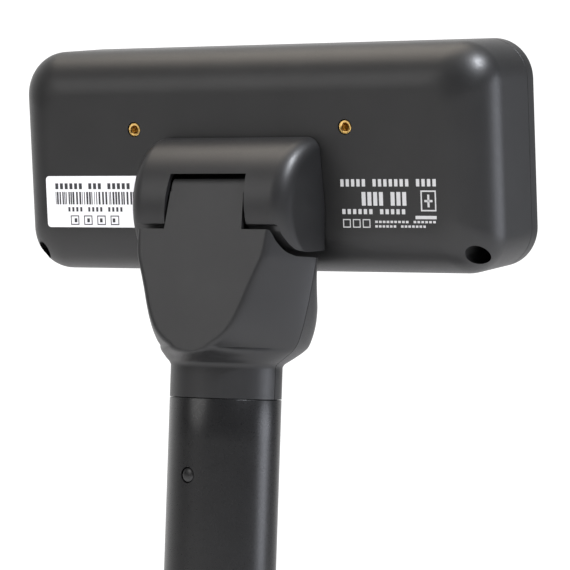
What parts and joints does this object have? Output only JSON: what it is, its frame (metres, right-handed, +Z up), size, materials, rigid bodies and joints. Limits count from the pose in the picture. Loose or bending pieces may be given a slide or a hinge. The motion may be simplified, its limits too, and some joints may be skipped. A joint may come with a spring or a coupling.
{
  "type": "customer pole display",
  "caption": "Customer-facing display head that tilts and swivels on a tube pole, which stands on a weighted base.",
  "frame": {"origin": "on the floor under the pole, at the middle of the base", "axes": "+Z up along the pole, the screen faces -Y, +X along the head"},
  "size_m": [0.22, 0.13, 0.4104],
  "materials": {
    "case_abs": "fine spark-eroded texture, satin black",
    "pole_paint": "smooth satin black powder paint",
    "nylon": "plain moulded black",
    "rubber": "matt black",
    "zinc_steel": "zinc plated",
    "brass": "bright machined",
    "label": "white paper label with plain grey bars",
    "header_plastic": "plain moulded white",
    "window": "polished smoked acrylic with a blue edge",
    "lcd_glass": "polished",
    "backlight": "diffusing white",
    "circuit_board": "green solder mask",
    "chip": "matt black"
  },
  "bodies": {
    "pole": {"base_cover": "case_abs", "base_bottom_plate": "zinc_steel", "base_weight": "zinc_steel", "pole_socket": "nylon", "socket_screw_1": "zinc_steel", "socket_screw_2": "zinc_steel", "socket_screw_3": "zinc_steel", "rubber_foot_1": "rubber", "rubber_foot_2": "rubber", "rubber_foot_3": "rubber", "rubber_foot_4": "rubber", "base_screw_1": "zinc_steel", "base_screw_2": "zinc_steel", "base_screw_3": "zinc_steel", "base_screw_4": "zinc_steel", "cable_grommet": "rubber", "pole_tube": "pole_paint", "pole_lock_screw": "zinc_steel", "pole_plug": "nylon", "snap_spring": "zinc_steel", "swivel_ring": "nylon", "swivel_washer": "zinc_steel", "swivel_nut": "zinc_steel"},
    "snap_button": {"snap_button": "pole_paint"},
    "neck": {"neck_rear_shell": "case_abs", "neck_front_shell": "case_abs", "neck_screw_1": "zinc_steel", "neck_screw_2": "zinc_steel", "tilt_bracket": "zinc_steel", "bracket_screw_1": "zinc_steel", "bracket_screw_2": "zinc_steel", "friction_washer_left": "brass", "friction_washer_right": "brass"},
    "head": {"rear_cover": "case_abs", "front_bezel": "case_abs", "display_window": "window", "lcd_glass": "lcd_glass", "lcd_frame": "nylon", "backlight_panel": "backlight", "controller_board": "circuit_board", "controller_chip": "chip", "cable_header": "header_plastic", "case_screw_1": "zinc_steel", "case_screw_2": "zinc_steel", "board_screw_1": "zinc_steel", "board_screw_2": "zinc_steel", "board_screw_3": "zinc_steel", "board_screw_4": "zinc_steel", "thread_insert_1": "brass", "thread_insert_2": "brass", "hinge_hood": "case_abs", "hood_screw_1": "zinc_steel", "hood_screw_2": "zinc_steel", "hood_screw_3": "zinc_steel", "hood_screw_4": "zinc_steel", "rear_label": "label", "tilt_shaft": "zinc_steel", "tension_spring": "zinc_steel", "tilt_nut": "zinc_steel", "shaft_collar": "zinc_steel"}
  },
  "joints": [
    {"name": "swivel", "type": "hinge", "parent": "pole", "child": "neck", "pos_m": [0, 0, 0.262], "axis": [0, 0, 1], "range_deg": [-135, 135]},
    {"name": "tilt", "type": "hinge", "parent": "neck", "child": "head", "pos_m": [0, -0.0056, 0.3398], "axis": [1, 0, 0], "range_deg": [0, 15]},
    {"name": "snap_press", "type": "slide", "parent": "pole", "child": "snap_button", "axis": [-0.1564, -0.9877, 0], "range_m": [0, 0.0024], "stiffness_N_per_m": 800, "springref_m": -0.002}
  ]
}
